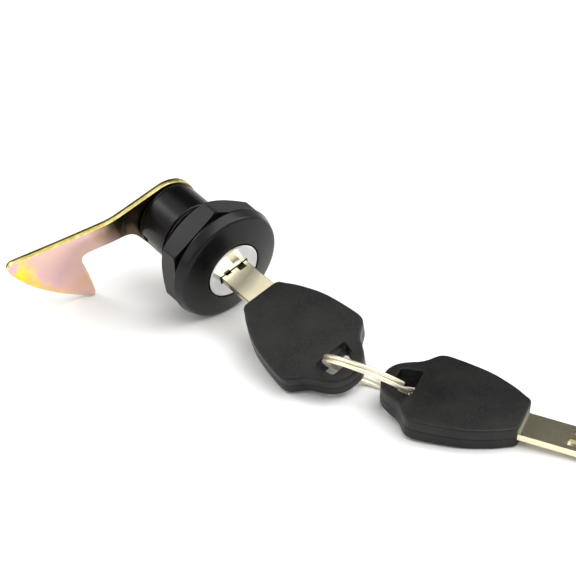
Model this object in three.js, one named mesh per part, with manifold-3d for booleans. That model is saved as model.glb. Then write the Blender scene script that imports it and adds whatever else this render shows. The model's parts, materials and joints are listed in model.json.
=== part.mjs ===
// Threaded-barrel cam lock with a hook cam, one key in the plug and a spare key on the split ring.
// Millimetres, +Z up. The lock lies on a table: flange rim, hook and keys touch z = 0.
import * as THREE from 'three';
import { mergeVertices } from 'three/addons/utils/BufferGeometryUtils.js';
import Module from 'manifold-3d';

const wasm = await Module();
wasm.setup();

// ---- Driving dimensions -------------------------------------------------------------------------
// Lock frame: origin at the middle of the flange's front edge, +z out of the face along the axis,
// x along the width of the key blade, y square to the blade's flat side.
const GAP = 0.3; // clearance between pieces that touch
const FLANGE = { edgeRadius: 16, rimRadius: 16.95, rimZ: -3.16, domeRadius: 9, domeHeight: 1.6 };
const BARREL = { radius: 9.96, threadRadius: 11, threadEndZ: -17.3, rearZ: -28.2 };
const BORE = { radius: 7.9, capRadius: 8.6, capSeatZ: 0.55 };
const WAFER_GROOVE = { halfWidth: 3.5, depth: 8.5, frontZ: -1.5, rearZ: -22.5 };
const SIDE_POCKET = { depth: 0.8, yLow: -4.5, yHigh: 0.6, frontZ: -20.4, rearZ: -27 };
const GASKET = { inner: 11.3, outer: 14.4, frontZ: -3.46, rearZ: -5.05 };
const NUT = { acrossFlats: 29, bore: 11.3, frontZ: -5.35, rearZ: -11.7, turn: 20.5, chamferHeight: 1.35 };
const PLUG = { radius: 7.6, frontZ: 0.3, rearZ: -28.2 };
const CAP = { radius: 8.27, frontZ: 1.85, backZ: 0.85, bevel: 0.35, centreZ: 0.6 };
const KEYWAY = { halfWidth: 4.85, halfHeight: 1.4, endZ: -22.6 };
const WAFER = { count: 6, firstZ: -3.6, pitch: 3.1, thickness: 1.2, halfWidth: 5.8, halfHeight: 3.5 };
const WAFER_HOLE = { halfWidth: 4.75, halfHeight: 2.1 };
const TONGUE = { halfWidth: 3, reach: 6.85 };
const WAFER_SLOT = { halfWidth: 6.1, halfHeight: 4.55, clearance: 0.15 };
const SPRING = { radius: 0.42, wire: 0.14, turns: 4, low: 6.1, high: 3.85 };
const STOP = { z: -26.6, pinRadius: 0.8, pinEnd: 8.75, pocketRadius: 9.15, halfDepth: 1.15 };
const TAIL = { halfSide: 3.6, endZ: -31.2, boreRadius: 2.6, boreDepthZ: -22.8 };
const CAM = { frontZ: -28.5, thickness: 2, bendX: -17, bendAngle: 12.5 * Math.PI / 180 };
const WASHER = { outer: 6.4, inner: 2.8, frontZ: -31.5, rearZ: -32.7 };
const SCREW = { headRadius: 4.8, headFrontZ: -33, headRearZ: -35.6, shankRadius: 2.3, shankEndZ: -24 };
const TURN_LIMIT = Math.PI / 2;

// Key frame: origin on the blade's middle line at the bow's front edge, -y towards the blade's tip,
// +y towards the bow's tail, z square to the bow.
const BOW = { thickness: 6.05, length: 37.3, offset: 1.1, chamfer: 0.7 };
const BOW_HOLE = { frontHalf: 5.3, backHalf: 3.9, front: 28.2, back: 34, corner: 0.5 };
const BLADE = { halfWidth: 4.41, thickness: 2.1, length: 36, tang: 13, tangHalfWidth: 3.6, tip: 3.2 };
const TRACKS = [
  { x: -2.05, halfWidth: 1.15, startY: -10.9 },
  { x: 2.0, halfWidth: 0.9, startY: -12.1 },
];
const TRACK_DEPTH = 0.6;
const KEY_1_BOW_Z = 14.9; // bow's front edge in front of the flange edge, key pushed home
const RING = { radius: 11.6, wire: 0.5, spacing: 1.08, sides: 8 };

// How everything lies on the table.
const AXIS_TILT = 11.2 * Math.PI / 180; // face end of the lock's axis dips below level
const KEY_ROLL = 19.36 * Math.PI / 180; // key blade's plane turned about the axis
const FLANGE_HEIGHT = 16.01; // flange edge's middle above the table
const KEY_2 = {
  position: [18.73, -91.05, 3.5],
  pitch: 3.19 * Math.PI / 180,
  roll: -5.54 * Math.PI / 180,
  yaw: 25.74 * Math.PI / 180,
};
const RING_PLACE = { centre: [-0.49, -55.5, 8.89], normal: [0.658, 0.203, 0.725], turn: -1.2 };

// ---- Solids ---------------------------------------------------------------------------------------
const TINY = 0.01;

/** A closed three.js geometry as a manifold solid. */
function solid(geometry) {
  const bare = geometry.index ? geometry.toNonIndexed() : geometry.clone();
  bare.deleteAttribute('normal');
  bare.deleteAttribute('uv');
  const merged = mergeVertices(bare, 1e-4);
  return new wasm.Manifold(new wasm.Mesh({
    numProp: 3,
    vertProperties: new Float32Array(merged.attributes.position.array),
    triVerts: new Uint32Array(merged.index.array),
  }));
}

/** A manifold solid as a three.js geometry. */
function geometryOf(body) {
  const mesh = body.getMesh();
  const geometry = new THREE.BufferGeometry();
  geometry.setAttribute('position', new THREE.BufferAttribute(mesh.vertProperties, 3));
  geometry.setIndex(new THREE.BufferAttribute(mesh.triVerts, 1));
  geometry.computeVertexNormals();
  return geometry;
}

/** Turned solid about z. The profile is [radius, z] corners, counter-clockwise. */
function turned(profile, segments = 48) {
  const points = [...profile, profile[0]].map(([r, z]) => new THREE.Vector2(r, z));
  return solid(new THREE.LatheGeometry(points, segments).rotateX(Math.PI / 2));
}

/** Cylinder about z between two heights. */
function cylinder(radius, zLow, zHigh, segments = 40) {
  return turned([[0, zLow], [radius, zLow], [radius, zHigh], [0, zHigh]], segments);
}

/** Flat outline pushed along z between two heights. */
function prism(shape, zLow, zHigh, curveSegments = 8) {
  const options = { depth: zHigh - zLow, bevelEnabled: false, curveSegments };
  return solid(new THREE.ExtrudeGeometry(shape, options).translate(0, 0, zLow));
}

/** Box from its low corner to its high corner. */
function block(low, high) {
  const size = high.map((value, i) => value - low[i]);
  const middle = high.map((value, i) => (value + low[i]) / 2);
  return solid(new THREE.BoxGeometry(...size).translate(...middle));
}

/** Rectangle with rounded corners, as a shape or as a hole's path. */
function roundedRectangle(Kind, xLow, xHigh, yLow, yHigh, radius) {
  const path = new Kind();
  path.moveTo(xLow + radius, yLow);
  path.lineTo(xHigh - radius, yLow);
  path.absarc(xHigh - radius, yLow + radius, radius, -Math.PI / 2, 0);
  path.lineTo(xHigh, yHigh - radius);
  path.absarc(xHigh - radius, yHigh - radius, radius, 0, Math.PI / 2);
  path.lineTo(xLow + radius, yHigh);
  path.absarc(xLow + radius, yHigh - radius, radius, Math.PI / 2, Math.PI);
  path.lineTo(xLow, yLow + radius);
  path.absarc(xLow + radius, yLow + radius, radius, Math.PI, 3 * Math.PI / 2);
  return path;
}

/** Round wire along a helix about z. */
function coil(radius, wire, pitch, turns, stepsPerTurn, sides) {
  const points = [];
  const steps = Math.round(turns * stepsPerTurn);
  for (let i = 0; i <= steps; i += 1) {
    const angle = (i / stepsPerTurn) * 2 * Math.PI;
    const height = pitch * (i / stepsPerTurn - turns / 2);
    points.push(new THREE.Vector3(radius * Math.cos(angle), radius * Math.sin(angle), height));
  }
  const section = new THREE.Shape();
  for (let i = 0; i < sides; i += 1) {
    const angle = (i / sides) * 2 * Math.PI;
    const corner = [wire * Math.cos(angle), wire * Math.sin(angle)];
    if (i === 0) section.moveTo(...corner);
    else section.lineTo(...corner);
  }
  const extrudePath = new THREE.CatmullRomCurve3(points);
  return new THREE.ExtrudeGeometry(section, { steps, extrudePath, bevelEnabled: false });
}

/** Split ring about z: a lower and an upper coil joined by one short crossing. */
function splitRing() {
  const degrees = Math.PI / 180;
  const points = [];
  const lastStep = 68;
  for (let i = 0; i <= lastStep; i += 1) {
    const angle = 22 + i * 10;
    const crossing = Math.min(Math.max((angle - 335) / 50, 0), 1);
    const blend = crossing * crossing * (3 - 2 * crossing);
    const x = RING.radius * Math.cos(angle * degrees);
    const y = RING.radius * Math.sin(angle * degrees);
    points.push(new THREE.Vector3(x, y, RING.spacing * (blend - 0.5)));
  }
  const section = new THREE.Shape();
  for (let i = 0; i < RING.sides; i += 1) {
    const angle = (i + 0.5) * 2 * Math.PI / RING.sides;
    const corner = [RING.wire * Math.cos(angle), RING.wire * Math.sin(angle)];
    if (i === 0) section.moveTo(...corner);
    else section.lineTo(...corner);
  }
  const extrudePath = new THREE.CatmullRomCurve3(points);
  return new THREE.ExtrudeGeometry(section, { steps: lastStep, extrudePath, bevelEnabled: false });
}

// ---- Materials ------------------------------------------------------------------------------------
const finish = (color, roughness, metalness) =>
  new THREE.MeshStandardMaterial({ color, roughness, metalness });
const BLACK_PLASTIC = finish(0x1a1b1d, 0.45, 0);
const BOW_PLASTIC = finish(0x222325, 0.6, 0);
const RUBBER = finish(0x0c0c0c, 0.85, 0);
const NICKEL = finish(0xd9d6cc, 0.2, 1);
const ZINC_ALLOY = finish(0x9a9a98, 0.4, 1);
const BRASS = finish(0xb8963e, 0.35, 1);
const SPRING_STEEL = finish(0x8c8c8c, 0.3, 1);
const YELLOW_ZINC = finish(0xd9b08c, 0.35, 0.9);

function piece(name, body, material) {
  const geometry = body instanceof THREE.BufferGeometry ? body : geometryOf(body);
  const mesh = new THREE.Mesh(geometry, material);
  mesh.name = name;
  return mesh;
}

// ---- Lock body --------------------------------------------------------------------------------------
/** Domed flange, threaded barrel and the bore that the plug turns in. */
function housing() {
  const dome = [];
  const domeSteps = 5;
  for (let i = 0; i <= domeSteps; i += 1) {
    const r = FLANGE.edgeRadius + (FLANGE.domeRadius - FLANGE.edgeRadius) * (i / domeSteps);
    const rise = (FLANGE.edgeRadius ** 2 - r ** 2) / (FLANGE.edgeRadius ** 2 - FLANGE.domeRadius ** 2);
    dome.push([r, FLANGE.domeHeight * rise]);
  }
  const body = turned([
    [BORE.radius, BARREL.rearZ],
    [BARREL.radius, BARREL.rearZ],
    [BARREL.radius, BARREL.threadEndZ - 0.5],
    [BARREL.threadRadius, BARREL.threadEndZ],
    [BARREL.threadRadius, FLANGE.rimZ],
    [FLANGE.rimRadius, FLANGE.rimZ],
    ...dome,
    [BORE.capRadius, FLANGE.domeHeight],
    [BORE.capRadius, BORE.capSeatZ],
    [BORE.radius, BORE.capSeatZ],
  ], 64);
  const { halfWidth, depth, frontZ, rearZ } = WAFER_GROOVE;
  const grooves = block([-halfWidth, -depth, rearZ], [halfWidth, depth, frontZ])
    .add(block([-depth, -halfWidth, rearZ], [depth, halfWidth, frontZ]));
  const pocket = block(
    [-BARREL.radius - 1, SIDE_POCKET.yLow, SIDE_POCKET.rearZ],
    [-BARREL.radius + SIDE_POCKET.depth, SIDE_POCKET.yHigh, SIDE_POCKET.frontZ],
  );
  return body.subtract(grooves).subtract(pocket).subtract(stopPocket());
}

/** Quarter-round recess at the barrel's rear end that the stop pin sweeps. */
function stopPocket() {
  const spare = 0.16; // radians past the pin at each end of its travel
  const from = Math.PI / 4 - TURN_LIMIT - spare;
  const to = Math.PI / 4 + spare;
  const wedge = new THREE.Shape();
  wedge.moveTo(0, 0);
  wedge.absarc(0, 0, STOP.pocketRadius, from, to);
  wedge.lineTo(0, 0);
  return prism(wedge, BARREL.rearZ - 1, STOP.z + STOP.halfDepth, 20);
}

/** Six-sided clamping nut with its rear corners chamfered. */
function hexNut() {
  const cornerRadius = NUT.acrossFlats / Math.sqrt(3);
  const hexagon = new THREE.Shape();
  for (let i = 0; i < 6; i += 1) {
    const angle = (NUT.turn + 60 * i) * Math.PI / 180;
    const corner = [cornerRadius * Math.cos(angle), cornerRadius * Math.sin(angle)];
    if (i === 0) hexagon.moveTo(...corner);
    else hexagon.lineTo(...corner);
  }
  const cone = turned([
    [NUT.bore, NUT.rearZ],
    [NUT.acrossFlats / 2, NUT.rearZ],
    [cornerRadius + 0.1, NUT.rearZ + NUT.chamferHeight],
    [cornerRadius + 0.1, NUT.frontZ],
    [NUT.bore, NUT.frontZ],
  ], 60);
  return prism(hexagon, NUT.rearZ - 1, NUT.frontZ + 1).intersect(cone);
}

function gasket() {
  const { inner, outer, frontZ, rearZ } = GASKET;
  return turned([[inner, rearZ], [outer, rearZ], [outer, frontZ], [inner, frontZ]]);
}

// ---- Turning parts ------------------------------------------------------------------------------------
const waferZ = (index) => WAFER.firstZ - WAFER.pitch * index;
const waferSide = (index) => (index % 2 === 0 ? 1 : -1); // tongues point up and down in turn

/** Plug with its keyway, wafer slots, spring pockets, stop-pin hole and square tail. */
function plug() {
  let body = cylinder(PLUG.radius, PLUG.rearZ, PLUG.frontZ, 56);
  const side = TAIL.halfSide;
  body = body.add(block([-side, -side, TAIL.endZ], [side, side, PLUG.rearZ + 1]));
  body = body.subtract(block(
    [-KEYWAY.halfWidth, -KEYWAY.halfHeight, KEYWAY.endZ],
    [KEYWAY.halfWidth, KEYWAY.halfHeight, PLUG.frontZ + 1],
  ));
  body = body.subtract(cylinder(TAIL.boreRadius, TAIL.endZ - 1, TAIL.boreDepthZ, 24));
  for (let i = 0; i < WAFER.count; i += 1) body = body.subtract(waferCavity(i));
  return body.subtract(stopPinSolid(STOP.pinRadius + GAP, PLUG.radius + 1));
}

/** Room for one wafer, its tongue and its spring. */
function waferCavity(index) {
  const half = WAFER.thickness / 2 + WAFER_SLOT.clearance;
  const z = waferZ(index);
  const s = waferSide(index);
  const { halfWidth, halfHeight } = WAFER_SLOT;
  const span = (from, to) => [Math.min(from * s, to * s), Math.max(from * s, to * s)];
  const [tongueLow, tongueHigh] = span(0, PLUG.radius + 1);
  const [springLow, springHigh] = span(-SPRING.low - 0.4, 0);
  const tongueHalf = TONGUE.halfWidth + 0.2;
  const springHalf = SPRING.radius + SPRING.wire + GAP;
  return block([-halfWidth, -halfHeight, z - half], [halfWidth, halfHeight, z + half])
    .add(block([-tongueHalf, tongueLow, z - half], [tongueHalf, tongueHigh, z + half]))
    .add(block([-springHalf, springLow, z - half], [springHalf, springHigh, z + half]));
}

/** One locking wafer: a frame round the blade with a tongue that reaches into the barrel's groove. */
function wafer(index) {
  const { halfWidth, halfHeight, thickness } = WAFER;
  const outline = roundedRectangle(THREE.Shape, -halfWidth, halfWidth, -halfHeight, halfHeight, 0.6);
  const { halfWidth: holeX, halfHeight: holeY } = WAFER_HOLE;
  outline.holes.push(roundedRectangle(THREE.Path, -holeX, holeX, -holeY, holeY, 0.3));
  const frame = prism(outline, -thickness / 2, thickness / 2, 3);
  const s = waferSide(index);
  const near = (halfHeight - 0.5) * s;
  const far = TONGUE.reach * s;
  return frame.add(block(
    [-TONGUE.halfWidth, Math.min(near, far), -thickness / 2],
    [TONGUE.halfWidth, Math.max(near, far), thickness / 2],
  ));
}

/** Small compression spring that lifts one wafer; its coil stands along y. */
function waferSpring(index) {
  const length = SPRING.low - SPRING.high - 2 * SPRING.wire;
  const geometry = coil(SPRING.radius, SPRING.wire, length / SPRING.turns, SPRING.turns, 8, 5);
  return geometry.rotateX(Math.PI / 2).translate(0, -waferSide(index) * (SPRING.low + SPRING.high) / 2, 0);
}

/** Stop pin lying along the radius at 45 degrees, from inside the plug to its end. */
function stopPinSolid(radius, end) {
  const length = end - 4.2;
  const geometry = new THREE.CylinderGeometry(radius, radius, length, 16)
    .translate(0, 4.2 + length / 2, 0)
    .rotateZ(-Math.PI / 4)
    .translate(0, 0, STOP.z);
  return solid(geometry);
}

/** Bright cap over the plug's front, with the keyway slot. */
function plugCap() {
  const body = turned([
    [0, CAP.backZ],
    [CAP.radius, CAP.backZ],
    [CAP.radius, CAP.frontZ - CAP.bevel],
    [CAP.radius - CAP.bevel, CAP.frontZ],
    [0, CAP.frontZ],
  ], 64);
  return body.subtract(block(
    [-KEYWAY.halfWidth, -KEYWAY.halfHeight, CAP.backZ - 1],
    [KEYWAY.halfWidth, KEYWAY.halfHeight, CAP.frontZ + 1],
  ));
}

/** Hook cam: round head on the plug's tail, an arm bent away from the face and a barbed hook. */
function camHook() {
  const head = { y: 0.3, radius: 10.3 };
  const tip = { x: -46.4, y: 10.6, radius: 1.7 };
  const barb = { x: -28.9, y: -12.3, radius: 1.1 };
  const corner = { x: -26.4, y: 1.2, radius: 2 };
  const outline = new THREE.Shape();
  outline.moveTo(0, head.y + head.radius);
  outline.lineTo(CAM.bendX, head.y + head.radius);
  outline.lineTo(tip.x, tip.y + tip.radius);
  outline.absarc(tip.x, tip.y, tip.radius, Math.PI / 2, 1.08 * Math.PI);
  outline.quadraticCurveTo(-43.6, -2.6, barb.x - 0.8, barb.y - 0.9);
  outline.absarc(barb.x, barb.y, barb.radius, 1.3 * Math.PI, 2.05 * Math.PI);
  outline.lineTo(corner.x - corner.radius, corner.y);
  outline.absarc(corner.x, corner.y, corner.radius, Math.PI, Math.PI / 2, true);
  outline.lineTo(-15.6, 2.9);
  outline.quadraticCurveTo(-12.4, 2.4, -9.6, -3.5);
  outline.absarc(0, head.y, head.radius, 1.12 * Math.PI, 2.5 * Math.PI);
  const square = TAIL.halfSide + GAP;
  outline.holes.push(roundedRectangle(THREE.Path, -square, square, -square, square, 0.2));
  const blank = (low, high) => prism(outline, low, high, 10);
  const near = block([CAM.bendX, -40, CAM.frontZ - 20], [40, 40, CAM.frontZ + 20]);
  const far = block([-80, -40, CAM.frontZ - 20], [CAM.bendX + TINY, 40, CAM.frontZ + 20]);
  const flat = blank(CAM.frontZ - CAM.thickness, CAM.frontZ);
  const arm = geometryOf(flat.intersect(far))
    .translate(-CAM.bendX, 0, -CAM.frontZ)
    .rotateY(-CAM.bendAngle)
    .translate(CAM.bendX, 0, CAM.frontZ);
  return flat.intersect(near).add(solid(arm)).add(bendFill());
}

/** Outer corner of the cam's bend. */
function bendFill() {
  const back = CAM.frontZ - CAM.thickness;
  const wedge = new THREE.Shape();
  wedge.moveTo(CAM.bendX + 0.02, CAM.frontZ - 0.2);
  wedge.lineTo(CAM.bendX + 0.02, back);
  wedge.lineTo(CAM.bendX - CAM.thickness * Math.sin(CAM.bendAngle) * 0.5, back + 0.02);
  wedge.lineTo(CAM.bendX - 0.05, CAM.frontZ - 0.2);
  return solid(new THREE.ExtrudeGeometry(wedge, { depth: 7.3, bevelEnabled: false })
    .rotateX(Math.PI / 2)
    .translate(0, 10.4, 0));
}

/** Spring washer, split at one place. */
function lockWasher() {
  const { inner, outer, frontZ, rearZ } = WASHER;
  const ring = turned([[inner, rearZ], [outer, rearZ], [outer, frontZ], [inner, frontZ]], 40);
  return ring.subtract(block([0, -0.4, rearZ - 1], [outer + 1, 0.4, frontZ + 1]));
}

/** Pan-head screw with a cross recess. */
function camScrew() {
  const { headRadius, headFrontZ, headRearZ, shankRadius, shankEndZ } = SCREW;
  const body = turned([
    [0, headRearZ],
    [headRadius * 0.55, headRearZ],
    [headRadius * 0.88, headRearZ + 0.55],
    [headRadius, headRearZ + 1.4],
    [headRadius, headFrontZ],
    [shankRadius, headFrontZ],
    [shankRadius, shankEndZ],
    [0, shankEndZ],
  ], 36);
  const reach = 2.4;
  const half = 0.45;
  const floorZ = headRearZ + 1.4;
  return body
    .subtract(block([-reach, -half, headRearZ - 1], [reach, half, floorZ]))
    .subtract(block([-half, -reach, headRearZ - 1], [half, reach, floorZ]));
}

// ---- Keys and ring ------------------------------------------------------------------------------------
/** Shield-shaped bow outline with its key-ring hole, in the key frame. */
function bowOutline() {
  const c = BOW.offset;
  const half = [
    [5.9, 0.6], [7, 2.6], [8.7, 5], [10.5, 9], [12, 12.8], [13.1, 17.6], [13.7, 22.5],
    [13.65, 25.6], [12.3, 27.5], [10.2, 29.1], [8.6, 30.8], [7.5, 32.7], [6.1, 34.8], [4.3, 36.4], [2.2, 37.15],
  ];
  const outline = new THREE.Shape();
  outline.moveTo(c - 4.9, 0);
  outline.lineTo(c + 4.9, 0);
  for (const [u, v] of half) outline.lineTo(c + u, v);
  outline.lineTo(c, BOW.length);
  for (const [u, v] of [...half].reverse()) outline.lineTo(c - u, v);
  outline.holes.push(bowHole());
  return outline;
}

/** Key-ring hole: wide towards the blade, narrow towards the tail, corners cut. */
function bowHole() {
  const { frontHalf, backHalf, front, back, corner } = BOW_HOLE;
  const c = BOW.offset;
  const path = new THREE.Path();
  path.moveTo(c - frontHalf + corner, front);
  path.lineTo(c + frontHalf - corner, front);
  path.lineTo(c + frontHalf - 0.1, front + corner);
  path.lineTo(c + backHalf + 0.1, back - corner);
  path.lineTo(c + backHalf - corner, back);
  path.lineTo(c - backHalf + corner, back);
  path.lineTo(c - backHalf - 0.1, back - corner);
  path.lineTo(c - frontHalf + 0.1, front + corner);
  path.closePath();
  return path;
}

/** One half of the bow: side is +1 for the upper shell and -1 for the lower one. */
function bowShell(side) {
  const full = solid(new THREE.ExtrudeGeometry(bowOutline(), {
    depth: BOW.thickness - 2 * BOW.chamfer,
    bevelEnabled: true,
    bevelThickness: BOW.chamfer,
    bevelSize: BOW.chamfer,
    bevelOffset: -BOW.chamfer,
    bevelSegments: 1,
    curveSegments: 3,
  }).translate(0, 0, -BOW.thickness / 2 + BOW.chamfer));
  const seam = GAP / 2;
  const keep = side > 0
    ? block([-30, -5, seam], [30, 50, 10])
    : block([-30, -5, -10], [30, 50, -seam]);
  const half = BLADE.thickness / 2 + GAP;
  const neck = BLADE.halfWidth + GAP;
  const tang = BLADE.tangHalfWidth + GAP;
  return full.intersect(keep)
    .subtract(block([-neck, -1, -half], [neck, 2.2, half]))
    .subtract(block([-tang, 2, -half], [tang, BLADE.tang + GAP, half]));
}

/** Flat blade with a pointed tip, a narrower tang and milled tracks on both sides. */
function keyBlade() {
  const { halfWidth, thickness, length, tang, tangHalfWidth, tip } = BLADE;
  const outline = new THREE.Shape();
  outline.moveTo(-tangHalfWidth, tang);
  outline.lineTo(-tangHalfWidth, 1.9);
  outline.lineTo(-halfWidth, 1.9);
  outline.lineTo(-halfWidth, -length + tip);
  outline.lineTo(-halfWidth + tip * 0.8, -length);
  outline.lineTo(halfWidth - tip * 0.8, -length);
  outline.lineTo(halfWidth, -length + tip);
  outline.lineTo(halfWidth, 1.9);
  outline.lineTo(tangHalfWidth, 1.9);
  outline.lineTo(tangHalfWidth, tang);
  let body = prism(outline, -thickness / 2, thickness / 2);
  for (const { x, halfWidth: half, startY } of TRACKS) {
    const floor = thickness / 2 - TRACK_DEPTH;
    const upper = block([x - half, -length - 1, floor], [x + half, startY, thickness]);
    const lower = block([-x - half, -length - 1, -thickness], [-x + half, startY, -floor]);
    body = body.subtract(upper).subtract(lower);
  }
  return body;
}

/** One key: blade and two bow shells, in a group of its own. */
function key(name) {
  const group = new THREE.Group();
  group.add(
    piece(`${name}_blade`, keyBlade(), NICKEL),
    piece(`${name}_bow_upper`, bowShell(1), BOW_PLASTIC),
    piece(`${name}_bow_lower`, bowShell(-1), BOW_PLASTIC),
  );
  return group;
}

// ---- Assembly -------------------------------------------------------------------------------------------
const lock = new THREE.Group();
lock.add(
  piece('housing', housing(), BLACK_PLASTIC),
  piece('hex_nut', hexNut(), BLACK_PLASTIC),
  piece('gasket', gasket(), RUBBER),
  piece('plug', plug(), ZINC_ALLOY),
  piece('plug_cap', plugCap(), NICKEL),
  piece('stop_pin', stopPinSolid(STOP.pinRadius, STOP.pinEnd), SPRING_STEEL),
  piece('cam_hook', camHook(), YELLOW_ZINC),
  piece('lock_washer', lockWasher(), SPRING_STEEL),
  piece('cam_screw', camScrew(), SPRING_STEEL),
);
for (let i = 0; i < WAFER.count; i += 1) {
  const frame = piece(`wafer_${i + 1}`, wafer(i), BRASS);
  const spring = piece(`wafer_spring_${i + 1}`, waferSpring(i), SPRING_STEEL);
  frame.position.z = waferZ(i);
  spring.position.z = waferZ(i);
  lock.add(frame, spring);
}

// Key 1 stands in the plug: its +y runs out along the lock's axis.
const keyInLock = key('key_1');
keyInLock.position.z = KEY_1_BOW_Z;
keyInLock.setRotationFromMatrix(new THREE.Matrix4().makeBasis(
  new THREE.Vector3(-1, 0, 0),
  new THREE.Vector3(0, 0, 1),
  new THREE.Vector3(0, 1, 0),
));
lock.add(keyInLock);

const rolled = new THREE.Group();
rolled.rotation.z = KEY_ROLL;
rolled.add(lock);
const tilted = new THREE.Group();
tilted.rotation.x = Math.PI / 2 + AXIS_TILT;
tilted.position.z = FLANGE_HEIGHT;
tilted.add(rolled);

const spareKey = key('key_2');
spareKey.position.set(...KEY_2.position);
spareKey.rotation.set(KEY_2.pitch, KEY_2.roll, KEY_2.yaw, 'ZXY');

const ring = piece('split_ring', splitRing(), NICKEL);
const ringNormal = new THREE.Vector3(...RING_PLACE.normal).normalize();
ring.position.set(...RING_PLACE.centre);
ring.quaternion.setFromUnitVectors(new THREE.Vector3(0, 0, 1), ringNormal);
ring.rotateZ(RING_PLACE.turn);

const assembly = new THREE.Group();
assembly.add(tilted, spareKey, ring);

// Origin in the middle of the footprint, with the lowest point at z = 0.
assembly.updateMatrixWorld(true);
const bounds = new THREE.Box3().setFromObject(assembly, true);
assembly.position.set(
  -(bounds.min.x + bounds.max.x) / 2,
  -(bounds.min.y + bounds.max.y) / 2,
  -bounds.min.z,
);

export default assembly;
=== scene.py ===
"""Looks of the cam lock: domed flange, threaded barrel, hook cam, two keys and a split ring."""

import json
import math

import bmesh
import bpy
from mathutils import Matrix, Vector

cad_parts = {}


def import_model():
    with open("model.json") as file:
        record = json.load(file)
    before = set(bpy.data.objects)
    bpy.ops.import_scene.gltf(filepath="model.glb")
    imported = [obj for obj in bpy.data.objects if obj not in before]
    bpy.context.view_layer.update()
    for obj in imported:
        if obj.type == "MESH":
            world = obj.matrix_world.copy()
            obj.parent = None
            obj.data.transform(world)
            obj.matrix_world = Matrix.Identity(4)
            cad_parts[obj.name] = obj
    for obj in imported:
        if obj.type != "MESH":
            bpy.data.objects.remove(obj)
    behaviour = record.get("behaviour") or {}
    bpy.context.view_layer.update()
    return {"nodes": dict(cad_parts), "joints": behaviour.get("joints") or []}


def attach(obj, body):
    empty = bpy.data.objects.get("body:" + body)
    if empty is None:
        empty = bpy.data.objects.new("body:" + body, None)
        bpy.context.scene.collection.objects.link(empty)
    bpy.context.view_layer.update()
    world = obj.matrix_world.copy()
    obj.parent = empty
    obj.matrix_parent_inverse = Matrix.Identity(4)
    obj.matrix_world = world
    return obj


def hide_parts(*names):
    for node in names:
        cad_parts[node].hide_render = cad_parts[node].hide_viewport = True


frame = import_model()

# ---- Frames -------------------------------------------------------------------------------------
# Shapes are written in millimetres in the frame of the lock, of a key or of the ring.
MM = 0.001
AXIS_TILT = math.radians(11.2)
KEY_ROLL = math.radians(19.36)
FLANGE_HEIGHT = 16.01
KEY_1_BOW_Z = 14.9
KEY_2_PLACE = (18.73, -91.05, 3.5)
KEY_2_YAW = math.radians(25.74)
KEY_2_PITCH = math.radians(3.19)
KEY_2_ROLL = math.radians(-5.54)
RING_PHASE = -1.2  # radians that the wire is turned about the ring's axis
# A key's y runs from blade to bow, out of the lock; its z is the lock's y.
KEY_AXES = Matrix(((-1, 0, 0, 0), (0, 0, 1, 0), (0, 1, 0, 0), (0, 0, 0, 1)))

joint = {j["name"]: j for j in frame["joints"]}
lock_origin = Vector(joint["plug_turn"]["pos_m"]) / MM
table_shift = lock_origin - Vector((0, 0, FLANGE_HEIGHT))
LOCK = (
    Matrix.Translation(lock_origin)
    @ Matrix.Rotation(math.pi / 2 + AXIS_TILT, 4, "X")
    @ Matrix.Rotation(KEY_ROLL, 4, "Z")
)
KEY_1 = LOCK @ Matrix.Translation((0, 0, KEY_1_BOW_Z)) @ KEY_AXES
KEY_2 = (
    Matrix.Translation(table_shift + Vector(KEY_2_PLACE))
    @ Matrix.Rotation(KEY_2_YAW, 4, "Z")
    @ Matrix.Rotation(KEY_2_PITCH, 4, "X")
    @ Matrix.Rotation(KEY_2_ROLL, 4, "Y")
)
ring_axis = Vector(joint["ring_turn"]["axis"])
RING = (
    Matrix.Translation(Vector(joint["ring_turn"]["pos_m"]) / MM)
    @ Vector((0, 0, 1)).rotation_difference(ring_axis).to_matrix().to_4x4()
    @ Matrix.Rotation(RING_PHASE, 4, "Z")
)


# ---- Mesh tools ---------------------------------------------------------------------------------
MERGE_DISTANCE = 1e-4
SHARP_ANGLE = 30


def add_object(name, data):
    """A new object in the scene that shows the data."""
    obj = bpy.data.objects.new(name, data)
    bpy.context.scene.collection.objects.link(obj)
    return obj


def shade_smooth(mesh, sharp=SHARP_ANGLE):
    """Smooth shading, broken at edges sharper than an angle in degrees."""
    for polygon in mesh.polygons:
        polygon.use_smooth = True
    mesh.set_sharp_from_angle(angle=math.radians(sharp))


def finish_mesh(name, bm, place, sharp=SHARP_ANGLE):
    """The bmesh as a new object, moved from its own frame to the part's and scaled to metres."""
    bmesh.ops.remove_doubles(bm, verts=bm.verts, dist=MERGE_DISTANCE)
    bmesh.ops.recalc_face_normals(bm, faces=bm.faces)
    bm.transform(Matrix.Scale(MM, 4) @ place)
    mesh = bpy.data.meshes.new(name)
    bm.to_mesh(mesh)
    bm.free()
    shade_smooth(mesh, sharp)
    return add_object(name, mesh)


def arc(cx, cy, r, start, end, steps):
    """Points on an arc, angles in degrees."""
    angles = [math.radians(start + (end - start) * i / steps) for i in range(steps + 1)]
    return [(cx + r * math.cos(a), cy + r * math.sin(a)) for a in angles]


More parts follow.
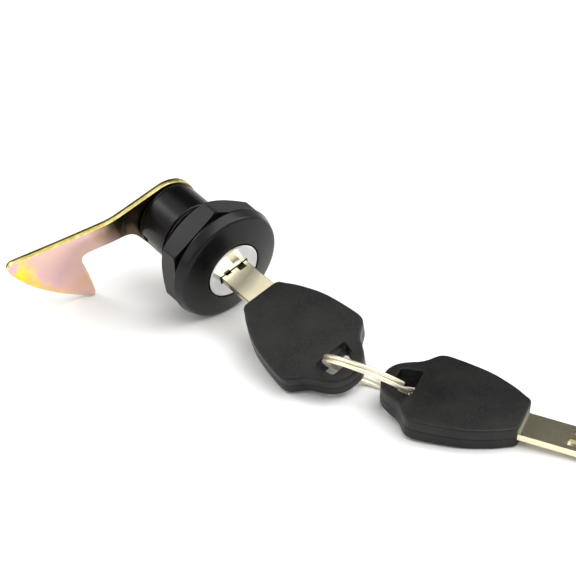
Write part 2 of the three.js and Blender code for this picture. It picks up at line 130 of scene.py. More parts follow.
def rounded(corners, steps):
    """Closed outline from (x, y, radius) corners, each corner rounded by an arc-like curve."""
    points = []
    count = len(corners)
    for i, (x, y, r) in enumerate(corners):
        here = Vector((x, y))
        if r <= 0:
            points.append((x, y))
            continue
        before = (Vector(corners[i - 1][:2]) - here).normalized()
        after = (Vector(corners[(i + 1) % count][:2]) - here).normalized()
        half = math.acos(max(-1, min(1, before.dot(after)))) / 2
        cut = r / math.tan(half)
        middle = here + (before + after).normalized() * (r / math.sin(half))
        a = here + before * cut - middle
        b = here + after * cut - middle
        turn = math.atan2(a.x * b.y - a.y * b.x, a.dot(b))
        for k in range(steps + 1):
            spin = Matrix.Rotation(turn * k / steps, 2)
            points.append(tuple(middle + spin @ a))
    return points


def smooth_curve(points, steps):
    """Catmull-Rom curve through open control points."""
    pts = [Vector(p) for p in points]
    ends = [2 * pts[0] - pts[1]] + pts + [2 * pts[-1] - pts[-2]]
    out = []
    for i in range(1, len(ends) - 2):
        p0, p1, p2, p3 = ends[i - 1 : i + 3]
        for k in range(steps):
            t = k / steps
            out.append(tuple(0.5 * (
                2 * p1 + (p2 - p0) * t + (2 * p0 - 5 * p1 + 4 * p2 - p3) * t * t
                + (3 * p1 - p0 - 3 * p2 + p3) * t ** 3
            )))
    out.append(tuple(pts[-1]))
    return out


def inset(loop, distance):
    """The closed outline moved to its left by a distance, corners mitred."""
    out = []
    count = len(loop)
    for i in range(count):
        a, b, c = Vector(loop[i - 1]), Vector(loop[i]), Vector(loop[(i + 1) % count])
        u, v = (b - a).normalized(), (c - b).normalized()
        n1, n2 = Vector((-u.y, u.x)), Vector((-v.y, v.x))
        out.append(tuple(b + (n1 + n2) / (1 + n1.dot(n2)) * distance))
    return out


def bridge(bm, low, high):
    """Faces between two closed rows of vertices."""
    count = len(low)
    for i in range(count):
        j = (i + 1) % count
        bm.faces.new((low[i], low[j], high[j], high[i]))


def plate(bm, loops, levels, hole_levels=None):
    """Solid plate from outlines, the outer one counter-clockwise and the holes clockwise.

    Levels are (inset, z) pairs. The holes follow hole_levels where these are given.
    """
    caps = {0: [], len(levels) - 1: []}
    for number, loop in enumerate(loops):
        rows = []
        for distance, z in hole_levels if hole_levels and number else levels:
            rows.append([bm.verts.new((x, y, z)) for x, y in inset(loop, distance)])
        count = len(loop)
        for low, high in zip(rows, rows[1:]):
            bridge(bm, low, high)
        for level, edges in caps.items():
            row = rows[level]
            edges += [bm.edges.get((row[i], row[(i + 1) % count])) for i in range(count)]
    for edges in caps.values():
        bmesh.ops.triangle_fill(bm, use_beauty=True, use_dissolve=False, edges=edges)


def lathe(bm, profile, segments):
    """Closed (radius, z) profile turned about z. A radius may be a function of the angle."""
    rows = []
    for r, z in profile:
        row = []
        for i in range(segments):
            a = 2 * math.pi * i / segments
            radius = r(a) if callable(r) else r
            row.append(bm.verts.new((radius * math.cos(a), radius * math.sin(a), z)))
        rows.append(row)
    for low, high in zip(rows, rows[1:] + rows[:1]):
        bridge(bm, low, high)


def add_box(bm, low, high):
    """Axis-aligned box in a bmesh."""
    size = Vector(high) - Vector(low)
    middle = (Vector(high) + Vector(low)) / 2
    bmesh.ops.create_cube(bm, size=1, matrix=Matrix.Translation(middle) @ Matrix.Diagonal((*size, 1)))


def cut(obj, cutters, operation="DIFFERENCE"):
    """Subtracts the cutters from obj for good, or keeps only what they share, and removes them."""
    for cutter in cutters:
        modifier = obj.modifiers.new("cut", "BOOLEAN")
        modifier.operation = operation
        modifier.solver = "EXACT"
        modifier.object = cutter
    graph = bpy.context.evaluated_depsgraph_get()
    mesh = bpy.data.meshes.new_from_object(obj.evaluated_get(graph))
    obj.modifiers.clear()
    obj.data = mesh
    mesh.name = obj.name
    for cutter in cutters:
        bpy.data.objects.remove(cutter)
    shade_smooth(mesh)


def cutter_box(low, high, place):
    """Box to cut with, from its lowest to its highest corner in the place's frame."""
    bm = bmesh.new()
    add_box(bm, low, high)
    return finish_mesh("cutter", bm, place)


def soften(obj, width, angle):
    """Small rounded edges, as a modifier, where faces meet at more than an angle in degrees."""
    modifier = obj.modifiers.new("edges", "BEVEL")
    modifier.width = width * MM
    modifier.segments = 2
    modifier.limit_method = "ANGLE"
    modifier.angle_limit = math.radians(angle)
    modifier.harden_normals = True


# ---- Materials ----------------------------------------------------------------------------------
def set_stops(node, stops):
    """Gives a colour ramp its stops: (position, colour) or (position, grey)."""
    elements = node.color_ramp.elements
    while len(elements) < len(stops):
        elements.new(0.5)
    for element, (position, colour) in zip(elements, stops):
        element.position = position
        element.color = (*colour, 1) if hasattr(colour, "__len__") else (colour,) * 3 + (1,)


class Shader:
    """A material with a principled shader and short calls for the nodes that feed it."""

    def __init__(self, name, **values):
        """Values are the principled shader's inputs, with _ for a space in a name."""
        self.material = bpy.data.materials.new(name)
        self.material.use_nodes = True
        self.tree = self.material.node_tree
        self.principled = self.tree.nodes["Principled BSDF"]
        for key, value in values.items():
            self.principled.inputs[key.replace("_", " ")].default_value = value
        coordinates = self.tree.nodes.new("ShaderNodeTexCoord")
        self.place = coordinates.outputs["Object"]

    def link(self, source, target):
        """Links an output to a socket, or to the principled shader's input of that name."""
        if isinstance(target, str):
            target = self.principled.inputs[target]
        self.tree.links.new(source, target)

    def noise(self, scale, detail=3, roughness=0.5, distortion=0.0):
        """Noise fixed to the object's own coordinates."""
        node = self.tree.nodes.new("ShaderNodeTexNoise")
        node.inputs["Scale"].default_value = scale
        node.inputs["Detail"].default_value = detail
        node.inputs["Roughness"].default_value = roughness
        node.inputs["Distortion"].default_value = distortion
        self.link(self.place, node.inputs["Vector"])
        return node.outputs["Fac"]

    def ramp(self, source, *stops):
        """Colour or grey that a value is turned into."""
        node = self.tree.nodes.new("ShaderNodeValToRGB")
        set_stops(node, stops)
        self.link(source, node.inputs["Fac"])
        return node.outputs["Color"]

    def mix(self, factor, a, b):
        """Colour between a and b; each of the three is an output or a constant."""
        node = self.tree.nodes.new("ShaderNodeMix")
        node.data_type = "RGBA"
        for value, socket in ((factor, node.inputs[0]), (a, node.inputs[6]), (b, node.inputs[7])):
            if hasattr(value, "is_output"):
                self.link(value, socket)
            elif hasattr(value, "__len__"):
                socket.default_value = (*value, 1)
            else:
                socket.default_value = value
        return node.outputs[2]

    def past(self, start, direction, scale):
        """How far a point is past start (mm) along a direction, in metres, times scale."""
        node = self.tree.nodes.new("ShaderNodeVectorMath")
        node.operation = "DOT_PRODUCT"
        node.inputs[1].default_value = [c * scale for c in direction]
        self.link(self.place, node.inputs[0])
        add = self.tree.nodes.new("ShaderNodeMath")
        add.operation = "ADD"
        add.inputs[1].default_value = -direction.dot(start) * MM * scale
        self.link(node.outputs["Value"], add.inputs[0])
        return add.outputs["Value"]

    def bump(self, height, strength, distance):
        """Fine relief, its distance in millimetres."""
        node = self.tree.nodes.new("ShaderNodeBump")
        node.inputs["Strength"].default_value = strength
        node.inputs["Distance"].default_value = distance * MM
        self.link(height, node.inputs["Height"])
        self.link(node.outputs["Normal"], "Normal")


def black_plastic(name, colour, roughness, grain, specular):
    """Moulded plastic: near-black and finely grained, with paler patches and specks."""
    shader = Shader(name, Roughness=roughness, Metallic=0.0, Specular_IOR_Level=specular)
    patches = shader.ramp(shader.noise(110, detail=3, roughness=0.6), (0.35, 0.0), (0.7, 1.0))
    specks = shader.ramp(shader.noise(1500, detail=4, roughness=0.7), (0.46, 0.0), (0.7, 1.0))
    dark, pale, speck = (tuple(c * factor for c in colour) for factor in (0.6, 2.1, 2.3))
    shader.link(shader.mix(specks, shader.mix(patches, dark, pale), speck), "Base Color")
    shader.bump(shader.noise(1500, detail=4, roughness=0.75), strength=grain, distance=0.06)
    return shader.material


def rubber():
    """Dull black rubber."""
    shader = Shader("rubber", Roughness=0.85, Metallic=0.0)
    shader.link(shader.ramp(shader.noise(300), (0.3, 0.008), (0.7, 0.018)), "Base Color")
    shader.bump(shader.noise(1500), strength=0.3, distance=0.03)
    return shader.material


def nickel(name, roughness, tint, grain=0.1):
    """Nickel plate with faint clouds and a fine grain."""
    shader = Shader(name, Metallic=1.0, Roughness=roughness)
    cloud = shader.ramp(shader.noise(160, detail=3), (0.3, 0.0), (0.7, 1.0))
    shade = tuple(c * 0.86 for c in tint)
    shader.link(shader.mix(cloud, shade, tint), "Base Color")
    shader.bump(shader.noise(1800, detail=3, roughness=0.7), strength=grain, distance=0.012)
    return shader.material


def yellow_zinc():
    """Yellow-passivated zinc: pink and lilac, yellow patches toward the tip, dark olive painted shade
    and reflection of the barrel near it.
    """
    shader = Shader("yellow_zinc", Metallic=1.0, Roughness=0.24)
    broad = shader.noise(62, detail=2, roughness=0.5, distortion=0.5)
    fine = shader.noise(210, detail=3, roughness=0.6, distortion=0.4)
    along = LOCK.to_3x3() @ Vector((-1, -0.35, 0))
    toward_tip = shader.past(LOCK @ Vector((-36, 0, -32)), along, 90)
    ground = shader.ramp(
        broad,
        (0.30, (0.78, 0.50, 0.36)),
        (0.42, (0.78, 0.51, 0.50)),
        (0.55, (0.74, 0.48, 0.52)),
        (0.68, (0.62, 0.44, 0.56)),
    )
    yellow = shader.ramp(fine, (0.4, (0.88, 0.76, 0.04)), (0.62, (0.86, 0.56, 0.14)))
    patch = shader.ramp(broad, (0.47, 1.0), (0.53, 0.0))
    near_tip = shader.ramp(toward_tip, (0.0, 0.0), (0.5, 1.0))
    patch_here = shader.mix(near_tip, (0.08, 0.08, 0.08), patch)
    # Painted shade and painted reflection: the face darkens to dark olive toward the black barrel,
    # where the barrel shades it and is mirrored in it.
    toward_barrel = shader.past(LOCK @ Vector((-21, 0, -32)), -along, 140)
    olive = shader.ramp(toward_barrel, (0.0, 0.0), (1.0, 0.92))
    face = shader.mix(patch_here, ground, yellow)
    shader.link(shader.mix(olive, face, (0.11, 0.085, 0.035)), "Base Color")
    shader.bump(shader.noise(900, detail=3, roughness=0.6), strength=0.08, distance=0.02)
    return shader.material


def cam_edge(name, tint, shade, roughness):
    """Sheared edge of the cam's plate, streaked from shade to tint."""
    shader = Shader(name, Metallic=1.0, Roughness=roughness)
    streaks = shader.noise(500, detail=2, roughness=0.6)
    shader.link(shader.ramp(streaks, (0.35, shade), (0.6, tint)), "Base Color")
    shader.bump(shader.noise(1400, detail=2), strength=0.1, distance=0.02)
    return shader.material


def plain_metal(name, tint, roughness):
    """Bare metal with faint clouds."""
    shader = Shader(name, Metallic=1.0, Roughness=roughness)
    cloud = shader.ramp(shader.noise(200, detail=3), (0.3, 0.0), (0.7, 1.0))
    shader.link(shader.mix(cloud, tuple(c * 0.8 for c in tint), tint), "Base Color")
    shader.bump(shader.noise(1400, detail=3), strength=0.15, distance=0.015)
    return shader.material


BODY_PLASTIC = black_plastic(
    "body_plastic", (0.0012, 0.0012, 0.0013), roughness=0.27, grain=0.3, specular=0.28
)
NUT_PLASTIC = black_plastic(
    "nut_plastic", (0.0026, 0.0026, 0.0028), roughness=0.32, grain=0.35, specular=0.27
)
BOW_PLASTIC = black_plastic(
    "bow_plastic", (0.0062, 0.0062, 0.006), roughness=0.4, grain=1.0, specular=0.27
)
RUBBER = rubber()
BLADE_NICKEL = nickel("blade_nickel", 0.22, (0.97, 0.89, 0.64))
# Dark tint for the blade's chamfers and track ends: painted shade and painted reflection on the same
# nickel plate.
BLADE_EDGE_SHADE = plain_metal("blade_edge_shade", (0.16, 0.14, 0.09), 0.35)
CAP_NICKEL = nickel("cap_nickel", 0.22, (0.66, 0.67, 0.66), grain=0.3)
RING_NICKEL = nickel("ring_nickel", 0.36, (0.96, 0.90, 0.72), grain=0.0)
YELLOW_ZINC = yellow_zinc()
CAM_EDGE = cam_edge("cam_edge", (0.90, 0.80, 0.36), (0.66, 0.55, 0.14), 0.3)
CAM_BACK_EDGE = cam_edge("cam_back_edge", (0.16, 0.13, 0.04), (0.07, 0.055, 0.02), 0.4)
STEEL = plain_metal("steel", (0.55, 0.55, 0.54), 0.3)
BRASS = plain_metal("brass", (0.70, 0.52, 0.24), 0.32)
ZINC_ALLOY = plain_metal("zinc_alloy", (0.50, 0.50, 0.49), 0.42)


def wear(obj, material):
    """Gives an object one material in place of those it has."""
    obj.data.materials.clear()
    obj.data.materials.append(material)


def add_piece(obj, body, material, slot, *nodes):
    """Gives a new piece its material and body, and lets it stand for the CAD nodes."""
    wear(obj, material)
    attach(obj, body)
    if nodes:
        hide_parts(*nodes)


# ---- Lock body ----------------------------------------------------------------------------------
THREAD = {"major": 11.0, "depth": 0.85, "pitch": 1.5, "start": -5.0, "end": -17.3}
THREAD_RUNOUT = {"length": 0.9, "undercut": 0.19}
THREAD_CREST = 1.25  # above 1, the crests are flat
ROWS_PER_PITCH = 12
BARREL = {"radius": 9.96, "rear": -28.2, "rounding": 0.36}
BORE = 7.9
CAP_BORE = 8.6
CAP_SEAT = 0.55
DOME = {"sphere": 55.0, "outer": 15.3, "inner": 9.0, "edge": 0.22, "flattening": 0.98, "steps": 7}
WAFER_GROOVES = (((-3.5, -8.5, -22.5), (3.5, 8.5, -1.5)), ((-8.5, -3.5, -22.5), (8.5, 3.5, -1.5)))
SIDE_POCKET = ((-10.96, -4.5, -27.0), (-9.16, 0.6, -20.4))
STOP_POCKET = {"radius": 9.15, "half_angle": 54.2, "rear": -29.2, "front": -25.45}
NUT = {"flats": 29.0, "turn": 20.5, "corner": 0.35, "front": -5.35, "rear": -11.7}
SEAT_BORE = 11.3  # bore of the nut and of the gasket, clear of the thread


def thread_radius(z):
    """Radius of the thread's surface at a height, as a function of the angle."""
    fade = min(1.0, max(0.0, (z - THREAD["end"]) / THREAD_RUNOUT["length"]))

    def radius(angle):
        phase = (z / THREAD["pitch"] - angle / (2 * math.pi)) % 1.0
        ridge = min(1.0, THREAD_CREST * (1 - abs(2 * phase - 1)))
        floor = THREAD["major"] - THREAD["depth"]
        return floor + THREAD["depth"] * ridge * fade - THREAD_RUNOUT["undercut"] * (1 - fade)

    return radius


def housing_profile():
    """The housing's (radius, z) section: plain barrel, thread, flange, dome and bore."""
    radius, rear, rounding = BARREL["radius"], BARREL["rear"], BARREL["rounding"]
    profile = [(BORE, rear), (9.6, rear)]
    for a in (0.5, 1.1, 1.57):
        profile.append((radius - rounding * (1 - math.sin(a)), rear + rounding * (1 - math.cos(a))))
    profile += [(radius, -27.3), (9.78, -27.22), (9.78, -27.0), (radius, -26.92)]
    profile += [(radius, -20.0), (radius, THREAD["end"] - 0.1)]
    rows = int((THREAD["start"] - THREAD["end"]) / THREAD["pitch"] * ROWS_PER_PITCH)
    for i in range(rows + 1):
        z = THREAD["end"] + (THREAD["start"] - THREAD["end"]) * i / rows
        profile.append((thread_radius(z), z))
    profile += [(10.2, -4.6), (10.2, -3.3), (10.35, -3.16), (16.75, -3.16)]
    profile += [(16.93, -3.06), (16.97, -2.86), (16.92, -2.6), (16.25, -0.75)]
    profile += [(16.1, -0.35), (15.8, 0.02), (DOME["outer"], DOME["edge"])]
    sphere, outer, inner = DOME["sphere"], DOME["outer"], DOME["inner"]
    for i in range(1, DOME["steps"] + 1):
        r = outer - (outer - inner) * i / DOME["steps"]
        rise = math.sqrt(sphere ** 2 - r ** 2) - math.sqrt(sphere ** 2 - outer ** 2)
        profile.append((r, DOME["edge"] + rise * DOME["flattening"]))
    return profile + [(8.78, 1.63), (8.62, 1.5), (CAP_BORE, CAP_SEAT), (BORE, CAP_SEAT)]


def housing():
    """Domed flange and threaded barrel, with grooves for the wafers and two recesses."""
    bm = bmesh.new()
    lathe(bm, housing_profile(), 144)
    obj = finish_mesh("lock_housing", bm, LOCK)
    boxes = [cutter_box(low, high, LOCK) for low, high in (*WAFER_GROOVES, SIDE_POCKET)]
    cut(obj, [*boxes, stop_pocket()])
    add_piece(obj, "lock_body", BODY_PLASTIC, "black_plastic", "housing")


def stop_pocket():
    """Cutter for the recess at the rear of the barrel that the plug's stop pin sweeps."""
    bm = bmesh.new()
    half_angle = STOP_POCKET["half_angle"]
    wedge = [(0, 0)] + arc(0, 0, STOP_POCKET["radius"], -half_angle, half_angle, 24)
    plate(bm, [wedge], [(0, STOP_POCKET["rear"]), (0, STOP_POCKET["front"])])
    return finish_mesh("cutter", bm, LOCK)


def hex_nut():
    """Six-sided prism kept inside a chamfered ring, which leaves its faces with curved ends."""
    corner = NUT["flats"] / math.sqrt(3)
    front, rear = NUT["front"], NUT["rear"]
    angles = [math.radians(NUT["turn"] + 60 * i) for i in range(6)]
    bm = bmesh.new()
    outline = rounded([(corner * math.cos(a), corner * math.sin(a), NUT["corner"]) for a in angles], 4)
    plate(bm, [outline], [(0, rear - 2), (0, front + 2)])
    obj = finish_mesh("hexagon_nut", bm, LOCK)
    bm = bmesh.new()
    lathe(bm, [
        (SEAT_BORE, rear), (14.45, rear), (16.9, rear + 1.42), (17.4, rear + 1.7),
        (17.4, front - 0.8), (16.0, front), (SEAT_BORE, front),
    ], 144)
    cut(obj, [finish_mesh("cone", bm, LOCK)], "INTERSECT")
    soften(obj, 0.12, angle=25)
    add_piece(obj, "lock_body", NUT_PLASTIC, "black_plastic", "hex_nut")


def gasket():
    """Rubber ring behind the flange."""
    bm = bmesh.new()
    section = [(SEAT_BORE, -5.05), (14.2, -5.05), (14.4, -4.85), (14.4, -3.66)]
    section += [(14.2, -3.46), (SEAT_BORE, -3.46)]
    lathe(bm, section, 96)
    add_piece(finish_mesh("flange_gasket", bm, LOCK), "lock_body", RUBBER, "rubber", "gasket")


def plug_cap():
    """Bright disc with a bevelled rim and the keyway slot."""
    radius, back, front = 8.27, 0.85, 1.85
    slot_x, slot_y = 4.85, 1.4
    bm = bmesh.new()
    rim = [(radius, front - 0.42), (radius - 0.08, front - 0.2), (radius - 0.45, front + 0.02)]
    rim += [(radius - 0.62, front), (radius - 0.75, front - 0.05)]
    lathe(bm, [(0.001, back), (radius, back), *rim, (0.001, front - 0.05)], 128)
    obj = finish_mesh("plug_face", bm, LOCK)
    cut(obj, [cutter_box((-slot_x, -slot_y, back - 1), (slot_x, slot_y, front + 1), LOCK)])
    soften(obj, 0.08, angle=40)
    add_piece(obj, "turning_plug", CAP_NICKEL, "bright_nickel", "plug_cap")


# ---- Cam ----------------------------------------------------------------------------------------
CAM_FRONT = -28.5
CAM_THICKNESS = 2.0
CAM_BEND_X = -17.0
CAM_DARK_BAND = 0.9  # height of the olive part of the sheared edge, at the back
CAM_BEND = math.radians(12.5)
CAM_BEND_RADIUS = 28.0
BEND_CUTS = {"count": 17, "start": 3.4, "spacing": 0.42}
CAM_HOLE = {"half": 3.9, "corner": 0.4}


def cam_outline():
    """Round head, arm and barbed hook, counter-clockwise from the head's lower left."""
    head = arc(0, 0.3, 10.3, -156, 90, 48)
    top = [
        (-4, 10.6), (-9, 10.6), (-13, 10.6), (-17, 10.62), (-24, 10.95), (-32, 11.4), (-40, 11.95),
        (-45.4, 12.35),
    ]
    tip = smooth_curve([(-46.3, 12.35), (-47.3, 12.0), (-48.05, 11.1), (-48.15, 9.9), (-47.8, 8.7)], 3)
    belly = smooth_curve([
        (-46.6, 5.9), (-44.3, 1.8), (-41.2, -2.3), (-37.3, -6.6), (-33.2, -10.3), (-30.2, -12.8),
    ], 5)
    barb = smooth_curve([
        (-29.5, -13.3), (-28.7, -13.55), (-28.0, -13.3), (-27.7, -12.6), (-27.6, -11.4),
    ], 3)
    inner = [(-27.65, -8), (-27.85, -4), (-28.2, 0), (-28.35, 1.2)]
    corner = smooth_curve([(-28.2, 2.1), (-27.8, 2.8), (-27.1, 3.25), (-26.2, 3.45), (-25.2, 3.5)], 3)
    lower = smooth_curve([
        (-21, 3.25), (-17.2, 2.98), (-14.8, 2.6), (-12.9, 1.8), (-11.4, 0.3), (-10.2, -1.9),
    ], 4)
    return head + top + tip + belly + barb + inner + corner + lower


def bend(point):
    """A point of the flat plate moved to where it lies once the arm is bent back."""
    radius = CAM_BEND_RADIUS
    half = radius * math.tan(CAM_BEND / 2)
    start = CAM_BEND_X + half
    x, y, z = point
    along = start - x
    if along <= 0:
        return Vector((x, y, z))
    length = radius * CAM_BEND
    angle = min(along / length, 1.0) * CAM_BEND
    rest = max(0.0, along - length)
    depth = radius + (z - CAM_FRONT)
    out_x = start - depth * math.sin(angle) - rest * math.cos(angle)
    out_z = CAM_FRONT - radius + depth * math.cos(angle) - rest * math.sin(angle)
    return Vector((out_x, y, out_z))


def cam_hook():
    """Bent plate with a square hole, its sheared edge bright in front and olive behind."""
    side, corner = CAM_HOLE["half"], CAM_HOLE["corner"]
    hole = rounded([
        (-side, side, corner), (side, side, corner), (side, -side, corner), (-side, -side, corner),
    ], 3)
    back = CAM_FRONT - CAM_THICKNESS
    bm = bmesh.new()
    plate(bm, [cam_outline(), hole], [
        (0.3, back), (0.12, back + 0.06), (0.03, back + 0.18), (0, back + 0.34),
        (0, back + CAM_DARK_BAND), (0, CAM_FRONT - 0.2), (0.05, CAM_FRONT - 0.06), (0.18, CAM_FRONT),
    ])
    for i in range(BEND_CUTS["count"]):
        x = CAM_BEND_X + BEND_CUTS["start"] - i * BEND_CUTS["spacing"]
        geometry = bm.verts[:] + bm.edges[:] + bm.faces[:]
        bmesh.ops.bisect_plane(bm, geom=geometry, plane_co=(x, 0, 0), plane_no=(1, 0, 0))
    for face in bm.faces:
        height = face.calc_center_median().z - back
        if 0.001 < height < CAM_THICKNESS - 0.001:
            face.material_index = 2 if height < CAM_DARK_BAND else 1
    for vert in bm.verts:
        vert.co = bend(vert.co)
    obj = finish_mesh("hook_cam", bm, LOCK, 35)
    finish = [polygon.material_index for polygon in obj.data.polygons]
    add_piece(obj, "turning_plug", YELLOW_ZINC, "yellow_zinc", "cam_hook")
    obj.data.materials.append(CAM_EDGE)
    obj.data.materials.append(CAM_BACK_EDGE)
    for polygon, index in zip(obj.data.polygons, finish):
        polygon.material_index = index


def cam_screw():
    """Pan-head screw with a cross recess."""
    bm = bmesh.new()
    lathe(bm, [
        (0.001, -35.6), (2.4, -35.6), (3.4, -35.4), (4.2, -35.0), (4.65, -34.45), (4.8, -33.9),
        (4.8, -33.1), (4.7, -33.0), (2.3, -33.0), (2.3, -24.0), (0.001, -24.0),
    ], 96)
    obj = finish_mesh("cam_fixing_screw", bm, LOCK)
    reach, half, outside, floor = 2.4, 0.45, -37, -34.2
    cut(obj, [
        cutter_box((-reach, -half, outside), (reach, half, floor), LOCK),
        cutter_box((-half, -reach, outside), (half, reach, floor), LOCK),
    ])
    add_piece(obj, "turning_plug", STEEL, "steel", "cam_screw")


def lock_washer():
    """Split washer under the screw's head."""
    half_gap = 0.4
    bm = bmesh.new()
    section = [(2.8, -32.7), (6.25, -32.7), (6.4, -32.55), (6.4, -31.65), (6.25, -31.5), (2.8, -31.5)]
    lathe(bm, section, 96)
    obj = finish_mesh("spring_washer", bm, LOCK)
    cut(obj, [cutter_box((0, -half_gap, -34), (8, half_gap, -30), LOCK)])
    add_piece(obj, "turning_plug", STEEL, "steel", "lock_washer")


# ---- Keys ---------------------------------------------------------------------------------------
BOW_OFFSET = 1.1  # the bow's middle is beside the blade's
BOW_THICKNESS = 6.05
BOW_ROUNDING = 0.55
BOW_HOLE_ROUNDING = 0.2
BLADE = {"half": 4.41, "thickness": 2.1, "length": 36.0, "tip": 3.2, "shoulder": 1.9, "chamfer": 0.16}
TANG = {"half": 3.6, "end": 13}
TRACK_DEPTH = 0.6
TRACKS = ((-2.05, 1.15, -10.9), (2.0, 0.9, -12.1))  # x, half width, y of the inner end
TRACK_END = {"run": 2.6, "rise": 0.9, "steps": 6}
EDGE_SLOPES = (0.2, 0.93)  # cosines between which a sloped face, a chamfer or a track's end, is tinted dark as painted shade and reflection


def bow_outline():
    """Shield-shaped bow, counter-clockwise, in the key frame."""
    side = smooth_curve([
        (5.2, 0.1), (6.2, 0.6), (7.1, 2.0), (8.9, 4.9), (10.8, 9.0), (12.1, 12.7), (13.0, 17.2),
        (13.6, 21.6), (13.8, 24.6), (13.3, 26.4), (12.0, 27.7), (10.2, 29.0), (8.7, 30.6),
        (7.7, 32.4), (6.5, 34.3), (5.0, 35.9), (3.0, 36.95), (1.2, 37.3),
    ], 4)
    right = [(4.2, 0.0)] + side
    left = [(-x, y) for x, y in reversed(right)]
    return [(x + BOW_OFFSET, y) for x, y in right + left]


def bow_hole():
    """Four-sided ring hole, narrower toward the bow's end, clockwise."""
    corners = [(-5.3, 28.2, 0.7), (-3.9, 34.0, 0.9), (3.9, 34.0, 0.9), (5.3, 28.2, 0.7)]
    return rounded([(x + BOW_OFFSET, y, r) for x, y, r in corners], 6)


def shell_levels(radius, side):
    """(inset, z) levels of a bow half: a fine step at the parting line, then a rounded outer edge."""
    top = BOW_THICKNESS / 2
    levels = [(0.12, 0.02), (0.11, 0.06), (0.02, 0.11), (0.0, 0.2), (0.0, top - radius - 0.1)]
    for i in range(1, 7):
        a = math.pi / 2 * i / 6
        levels.append((radius * (1 - math.cos(a)), top - radius + radius * math.sin(a)))
    return [(distance, z * side) for distance, z in levels]


def bow_shell(name, side, place, body, node):
    """One moulded half of a bow, on the side +1 or -1 of the parting line."""
    outer_levels = shell_levels(BOW_ROUNDING, side)
    hole_levels = shell_levels(BOW_HOLE_ROUNDING, side)
    bm = bmesh.new()
    plate(bm, [bow_outline(), bow_hole()], outer_levels, hole_levels)
    obj = finish_mesh(name, bm, place, 35)
    add_piece(obj, body, BOW_PLASTIC, "bow_plastic", node)


def blade(name, place, body, node):
    """Blade with milled tracks; its tang stays inside the bow."""
    half, length, tip, shoulder = BLADE["half"], BLADE["length"], BLADE["tip"], BLADE["shoulder"]
    inner, end = TANG["half"], TANG["end"]
    taper = tip * 0.8
    point = [(-half, -length + tip, 0.8), (-half + taper, -length, 0.9)]
    mirror = [(half - taper, -length, 0.9), (half, -length + tip, 0.8), (half, shoulder, 0)]
    tang = [(inner, shoulder, 0), (inner, end, 0), (-inner, end, 0), (-inner, shoulder, 0)]
    outline = rounded([*point, *mirror, *tang, (-half, shoulder, 0)], 4)
    bm = bmesh.new()
    h, chamfer = BLADE["thickness"] / 2, BLADE["chamfer"]
    plate(bm, [outline], [(chamfer, -h), (0.0, -h + chamfer), (0.0, h - chamfer), (chamfer, h)])
    obj = finish_mesh(name, bm, place, 35)
    floor = h - TRACK_DEPTH
    cutters = []
    for x, half_width, start in TRACKS:
        cutters.append(track_cutter(x, half_width, start, floor, 1, place))
        cutters.append(track_cutter(-x, half_width, start, floor, -1, place))
    cut(obj, cutters)
    add_piece(obj, body, BLADE_NICKEL, "bright_nickel", node)
    # The sloped faces take the dark tint: painted shade and painted reflection.
    obj.data.materials.append(BLADE_EDGE_SHADE)
    face_normal = place.to_3x3() @ Vector((0, 0, 1))
    for polygon in obj.data.polygons:
        if EDGE_SLOPES[0] < abs(polygon.normal.dot(face_normal)) < EDGE_SLOPES[1]:
            polygon.material_index = 1


def track_cutter(x, half, start, floor, side, place):
    """Cutter for one milled track: a long slot whose inner end rises in a curve."""
    past_tip, above = -38.0, 3.0
    bm = bmesh.new()
    rows = [(past_tip, floor)]
    for i in range(TRACK_END["steps"] + 1):
        t = i / TRACK_END["steps"]
        y = start + TRACK_END["run"] * (t - 1)
        rows.append((y, floor + TRACK_END["rise"] * (1 - math.sqrt(max(0.0, 1 - t * t)))))
    outline = [(y, z * side) for y, z in rows]
    outline += [(rows[-1][0], above * side), (past_tip, above * side)]
    left = [bm.verts.new((x - half, y, z)) for y, z in outline]
    right = [bm.verts.new((x + half, y, z)) for y, z in outline]
    bm.faces.new(left)
    bm.faces.new(right)
    bridge(bm, left, right)
    return finish_mesh("cutter", bm, place)


def split_ring():
    """Two flat coils of round wire, one on the other, joined by a short crossing."""
    radius, wire, spacing, sides = 11.6, 0.56, 1.14, 20
    first, sweep, steps = 22, 680, 340
    crossing_from, crossing_sweep = 335, 50
    bm = bmesh.new()
    rows = []
    for i in range(steps + 1):
        angle = first + sweep * i / steps
        crossing = min(max((angle - crossing_from) / crossing_sweep, 0), 1)
        height = spacing * (crossing * crossing * (3 - 2 * crossing) - 0.5)
        a = math.radians(angle)
        near_end = min(i, steps - i)
        thin = wire * (0.0 if near_end == 0 else min(1.0, math.sqrt(near_end / 1.5)))
        row = []
        for k in range(sides):
            b = 2 * math.pi * k / sides
            r = radius + thin * math.cos(b)
            row.append(bm.verts.new((r * math.cos(a), r * math.sin(a), height + thin * math.sin(b))))
        rows.append(row)
    for low, high in zip(rows, rows[1:]):
        bridge(bm, low, high)
    obj = finish_mesh("key_ring", bm, RING, 50)
    add_piece(obj, "ring", RING_NICKEL, "bright_nickel", "split_ring")


# ---- Build --------------------------------------------------------------------------------------
housing()
hex_nut()
gasket()
plug_cap()
cam_hook()
cam_screw()
lock_washer()
for number, (key_place, key_body) in enumerate(((KEY_1, "key_in_lock"), (KEY_2, "spare_key")), 1):
    blade(f"blade_{number}", key_place, key_body, f"key_{number}_blade")
    bow_shell(f"bow_{number}_top", 1, key_place, key_body, f"key_{number}_bow_upper")
    bow_shell(f"bow_{number}_bottom", -1, key_place, key_body, f"key_{number}_bow_lower")
split_ring()

for node_name, node in frame["nodes"].items():
    if node_name.startswith("wafer_spring") or node_name == "stop_pin":
        wear(node, STEEL)
    elif node_name.startswith("wafer"):
        wear(node, BRASS)
    elif node_name == "plug":
        wear(node, ZINC_ALLOY)


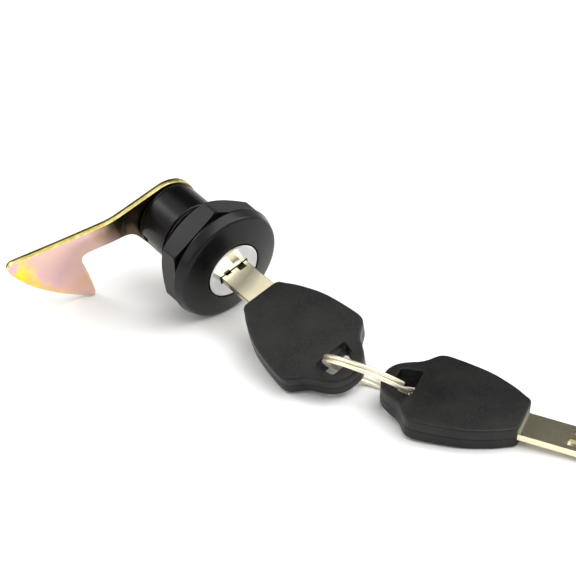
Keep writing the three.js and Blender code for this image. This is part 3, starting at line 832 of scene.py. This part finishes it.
# ---- Stage --------------------------------------------------------------------------------------
FLOOR_HALF = 3.0
CAMERA_PLACE = (-225.3, -284.7, 224.3)
CAMERA_AZIMUTH = math.radians(-40.86)
CAMERA_ELEVATION = math.radians(30.635)
SENSOR_WIDTH = 36
FOCAL_LENGTH = 95.55
CLIP_START = 0.01
SKY = (
    (0.0, (0.6, 0.6, 0.6)),
    (0.45, (0.6, 0.6, 0.6)),
    (0.8, (0.88, 0.87, 0.84)),
    (1.0, (1.05, 1.05, 1.03)),
)
CARD_DIRECTION = (0.50, 0.56, 0.66)
CARD = {"From Min": 0.94, "From Max": 0.868, "To Min": 0.03, "To Max": 1.0}


def floor_plane():
    """Large plain white floor at the height that the lock lies on."""
    size = FLOOR_HALF
    corners = [(-size, -size, 0), (size, -size, 0), (size, size, 0), (-size, size, 0)]
    mesh = bpy.data.meshes.new("floor")
    mesh.from_pydata(corners, [], [(0, 1, 2, 3)])
    obj = add_object("floor", mesh)
    shader = Shader("floor_white", Base_Color=(0.9, 0.9, 0.9, 1), Roughness=0.6, Specular_IOR_Level=0.1)
    wear(obj, shader.material)


def area_light(name, place, target, size, power, colour=(1, 1, 1)):
    """Rectangular light at a place, in metres, that points at a target."""
    data = bpy.data.lights.new(name, "AREA")
    data.shape = "RECTANGLE"
    data.size, data.size_y = size
    data.energy = power
    data.color = colour
    obj = add_object(name, data)
    obj.location = place
    obj.rotation_euler = (Vector(target) - Vector(place)).to_track_quat("-Z", "Y").to_euler()


def camera():
    """Camera at the photograph's viewing angle and framing."""
    data = bpy.data.cameras.new("camera")
    data.sensor_width = SENSOR_WIDTH
    data.lens = FOCAL_LENGTH
    data.clip_start = CLIP_START
    obj = add_object("camera", data)
    obj.location = (table_shift + Vector(CAMERA_PLACE)) * MM
    level = math.cos(CAMERA_ELEVATION)
    look = Vector((
        -math.sin(CAMERA_AZIMUTH) * level,
        math.cos(CAMERA_AZIMUTH) * level,
        -math.sin(CAMERA_ELEVATION),
    ))
    obj.rotation_euler = look.to_track_quat("-Z", "Y").to_euler()
    bpy.context.scene.camera = obj


def world():
    """White studio, brighter overhead, with one dark card high on the far side."""
    scene_world = bpy.data.worlds.new("studio")
    bpy.context.scene.world = scene_world
    scene_world.use_nodes = True
    tree = scene_world.node_tree
    background = tree.nodes["Background"]
    coordinates = tree.nodes.new("ShaderNodeTexCoord")
    axes = tree.nodes.new("ShaderNodeSeparateXYZ")
    sky = tree.nodes.new("ShaderNodeValToRGB")
    set_stops(sky, SKY)
    toward_card = tree.nodes.new("ShaderNodeVectorMath")
    toward_card.operation = "DOT_PRODUCT"
    toward_card.inputs[1].default_value = CARD_DIRECTION
    card = tree.nodes.new("ShaderNodeMapRange")
    for socket, value in CARD.items():
        card.inputs[socket].default_value = value
    tree.links.new(coordinates.outputs["Generated"], axes.inputs["Vector"])
    tree.links.new(axes.outputs["Z"], sky.inputs["Fac"])
    tree.links.new(coordinates.outputs["Generated"], toward_card.inputs[0])
    tree.links.new(toward_card.outputs["Value"], card.inputs["Value"])
    tree.links.new(card.outputs["Result"], background.inputs["Strength"])
    tree.links.new(sky.outputs["Color"], background.inputs["Color"])


floor_plane()
area_light("top", (0.2, -0.26, 0.8), target=(0, 0, 0), size=(1.0, 0.7), power=5.4)
area_light("left", (-0.7, 0.1, 0.35), target=(0, 0, 0.02), size=(0.4, 0.5), power=0.7)
area_light("rear", (-0.25, 0.5, 0.45), target=(0, 0.03, 0.02), size=(0.25, 0.25), power=1.3)
area_light(
    "right", (0.6, -0.35, 0.5), target=(0, -0.02, 0), size=(0.5, 0.5), power=1.7,
    colour=(1.0, 0.98, 0.94),
)
camera()
world()
bpy.context.scene.view_settings.view_transform = "Standard"
